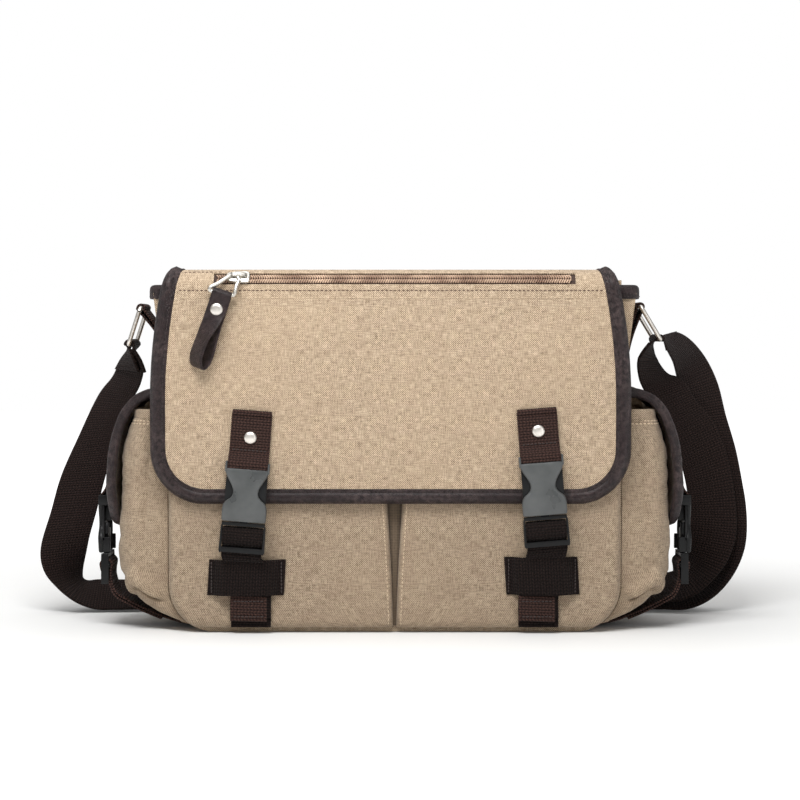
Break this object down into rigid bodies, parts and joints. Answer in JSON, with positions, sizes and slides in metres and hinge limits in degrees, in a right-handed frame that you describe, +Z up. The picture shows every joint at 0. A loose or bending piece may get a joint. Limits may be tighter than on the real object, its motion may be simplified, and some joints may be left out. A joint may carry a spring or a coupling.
{
  "type": "messenger bag",
  "caption": "Canvas messenger bag with leather-bound flaps, side-release buckles, a zip across the flap, outer pockets and a webbing shoulder strap on metal rings.",
  "frame": {"origin": "on the ground, at the middle of the bag's flat bottom", "axes": "+Z up, +X to the bag's right as seen from the front, -Y out of the front flap"},
  "size_m": [0.5698, 0.1769, 0.2743],
  "materials": {
    "canvas": "washed plain-weave cotton canvas",
    "lining_cloth": "thin woven lining",
    "leather": "dark waxed grained leather",
    "webbing": "ribbed webbing",
    "silver_metal": "nickel-plated, softly polished",
    "zip_metal": "antique",
    "zip_cloth": "woven tape with a nylon coil",
    "grey_plastic": "satin moulded",
    "black_plastic": "satin moulded"
  },
  "bodies": {
    "bag": {"front_panel": "canvas", "back_panel": "canvas", "gusset": "canvas", "lining": "lining_cloth", "opening_binding": "leather", "left_front_pocket": "canvas", "right_front_pocket": "canvas", "left_side_pocket": "canvas", "right_side_pocket": "canvas", "left_keeper": "webbing", "right_keeper": "webbing", "left_front_strap": "webbing", "right_front_strap": "webbing", "left_side_strap": "webbing", "right_side_strap": "webbing", "left_chape": "webbing", "right_chape": "webbing", "shoulder_strap": "webbing", "strap_return": "webbing", "strap_slider": "black_plastic"},
    "flap_top": {"flap_rear_panel": "canvas", "left_flap_top_binding": "leather", "right_flap_top_binding": "leather"},
    "flap_front": {"flap_front_panel": "canvas", "flap_lining": "lining_cloth", "flap_binding": "leather", "zip_tape": "zip_cloth", "zip_teeth": "zip_cloth", "left_flap_tab": "webbing", "right_flap_tab": "webbing", "left_tab_rivet": "silver_metal", "right_tab_rivet": "silver_metal", "left_front_female_buckle": "grey_plastic", "right_front_female_buckle": "grey_plastic"},
    "zip_slider_body": {"zip_slider": "zip_metal"},
    "zip_puller_body": {"zip_puller": "silver_metal", "pull_tab": "leather", "pull_tab_rivet": "silver_metal"},
    "left_side_flap_body": {"left_side_flap": "canvas", "left_side_flap_binding": "leather", "left_side_tab": "webbing", "left_side_female_buckle": "grey_plastic"},
    "left_ring_body": {"left_ring": "silver_metal"},
    "left_front_male_body": {"left_front_male_buckle": "black_plastic"},
    "left_front_prong_a_body": {"left_front_prong_a": "black_plastic"},
    "left_front_prong_b_body": {"left_front_prong_b": "black_plastic"},
    "left_side_male_body": {"left_side_male_buckle": "black_plastic"},
    "left_side_prong_a_body": {"left_side_prong_a": "black_plastic"},
    "left_side_prong_b_body": {"left_side_prong_b": "black_plastic"},
    "right_side_flap_body": {"right_side_flap": "canvas", "right_side_flap_binding": "leather", "right_side_tab": "webbing", "right_side_female_buckle": "grey_plastic"},
    "right_ring_body": {"right_ring": "silver_metal"},
    "right_front_male_body": {"right_front_male_buckle": "black_plastic"},
    "right_front_prong_a_body": {"right_front_prong_a": "black_plastic"},
    "right_front_prong_b_body": {"right_front_prong_b": "black_plastic"},
    "right_side_male_body": {"right_side_male_buckle": "black_plastic"},
    "right_side_prong_a_body": {"right_side_prong_a": "black_plastic"},
    "right_side_prong_b_body": {"right_side_prong_b": "black_plastic"}
  },
  "joints": [
    {"name": "flap_lift", "type": "hinge", "parent": "bag", "child": "flap_top", "pos_m": [0, 0.0545, 0.268], "axis": [-1, 0, 0], "range_deg": [0, 200]},
    {"name": "flap_fold", "type": "hinge", "parent": "flap_top", "child": "flap_front", "pos_m": [0, -0.047, 0.2738], "axis": [-1, 0, 0], "range_deg": [0, 90]},
    {"name": "zip_slide", "type": "slide", "parent": "flap_front", "child": "zip_slider_body", "axis": [1, 0, 0], "range_m": [0, 0.238]},
    {"name": "puller_swing", "type": "hinge", "parent": "zip_slider_body", "child": "zip_puller_body", "pos_m": [-0.114, -0.06442, 0.26943], "axis": [-1, 0, 0], "range_deg": [0, 110]},
    {"name": "left_side_flap_lift", "type": "hinge", "parent": "bag", "child": "left_side_flap_body", "pos_m": [-0.175, -0.012, 0.182], "axis": [0, 1, 0], "range_deg": [0, 60]},
    {"name": "left_ring_swing", "type": "hinge", "parent": "bag", "child": "left_ring_body", "pos_m": [-0.196, 0.008, 0.245], "axis": [0, 1, 0], "range_deg": [-10, 45], "deforming": ["shoulder_strap"]},
    {"name": "left_front_release", "type": "slide", "parent": "bag", "child": "left_front_male_body", "axis": [-0.0785, 0, -0.9969], "range_m": [0, 0.026], "deforming": ["left_front_strap"]},
    {"name": "left_front_squeeze_a", "type": "hinge", "parent": "left_front_male_body", "child": "left_front_prong_a_body", "pos_m": [-0.12233, -0.0696, 0.08629], "axis": [0, 1, 0], "range_deg": [0, 5], "stiffness_Nm_per_rad": 0.05},
    {"name": "left_front_squeeze_b", "type": "hinge", "parent": "left_front_male_body", "child": "left_front_prong_b_body", "pos_m": [-0.10239, -0.0696, 0.08471], "axis": [0, -1, 0], "range_deg": [0, 5], "stiffness_Nm_per_rad": 0.05},
    {"name": "left_side_release", "type": "slide", "parent": "bag", "child": "left_side_male_body", "axis": [0, 0, -1], "range_m": [0, 0.026], "deforming": ["left_side_strap"]},
    {"name": "left_side_squeeze_a", "type": "hinge", "parent": "left_side_male_body", "child": "left_side_prong_a_body", "pos_m": [-0.2216, -0.002, 0.0575], "axis": [1, 0, 0], "range_deg": [0, 5], "stiffness_Nm_per_rad": 0.05},
    {"name": "left_side_squeeze_b", "type": "hinge", "parent": "left_side_male_body", "child": "left_side_prong_b_body", "pos_m": [-0.2216, -0.022, 0.0575], "axis": [-1, 0, 0], "range_deg": [0, 5], "stiffness_Nm_per_rad": 0.05},
    {"name": "right_side_flap_lift", "type": "hinge", "parent": "bag", "child": "right_side_flap_body", "pos_m": [0.175, -0.012, 0.182], "axis": [0, -1, 0], "range_deg": [0, 60]},
    {"name": "right_ring_swing", "type": "hinge", "parent": "bag", "child": "right_ring_body", "pos_m": [0.1895, 0.008, 0.246], "axis": [0, -1, 0], "range_deg": [-10, 45], "deforming": ["shoulder_strap", "strap_return"]},
    {"name": "right_front_release", "type": "slide", "parent": "bag", "child": "right_front_male_body", "axis": [0.0785, 0, -0.9969], "range_m": [0, 0.026], "deforming": ["right_front_strap"]},
    {"name": "right_front_squeeze_a", "type": "hinge", "parent": "right_front_male_body", "child": "right_front_prong_a_body", "pos_m": [0.102, -0.0696, 0.08972], "axis": [0, 1, 0], "range_deg": [0, 5], "stiffness_Nm_per_rad": 0.05},
    {"name": "right_front_squeeze_b", "type": "hinge", "parent": "right_front_male_body", "child": "right_front_prong_b_body", "pos_m": [0.12194, -0.0696, 0.09129], "axis": [0, -1, 0], "range_deg": [0, 5], "stiffness_Nm_per_rad": 0.05},
    {"name": "right_side_release", "type": "slide", "parent": "bag", "child": "right_side_male_body", "axis": [0, 0, -1], "range_m": [0, 0.026], "deforming": ["right_side_strap"]},
    {"name": "right_side_squeeze_a", "type": "hinge", "parent": "right_side_male_body", "child": "right_side_prong_a_body", "pos_m": [0.2216, -0.022, 0.0575], "axis": [-1, 0, 0], "range_deg": [0, 5], "stiffness_Nm_per_rad": 0.05},
    {"name": "right_side_squeeze_b", "type": "hinge", "parent": "right_side_male_body", "child": "right_side_prong_b_body", "pos_m": [0.2216, -0.002, 0.0575], "axis": [1, 0, 0], "range_deg": [0, 5], "stiffness_Nm_per_rad": 0.05}
  ],
  "couplings": [
    {"joint": "flap_fold", "follows": "flap_lift", "ratio": 0.45},
    {"joint": "left_front_squeeze_a", "follows": "left_front_squeeze_b", "ratio": 1},
    {"joint": "left_side_squeeze_a", "follows": "left_side_squeeze_b", "ratio": 1},
    {"joint": "right_front_squeeze_a", "follows": "right_front_squeeze_b", "ratio": 1},
    {"joint": "right_side_squeeze_a", "follows": "right_side_squeeze_b", "ratio": 1}
  ]
}
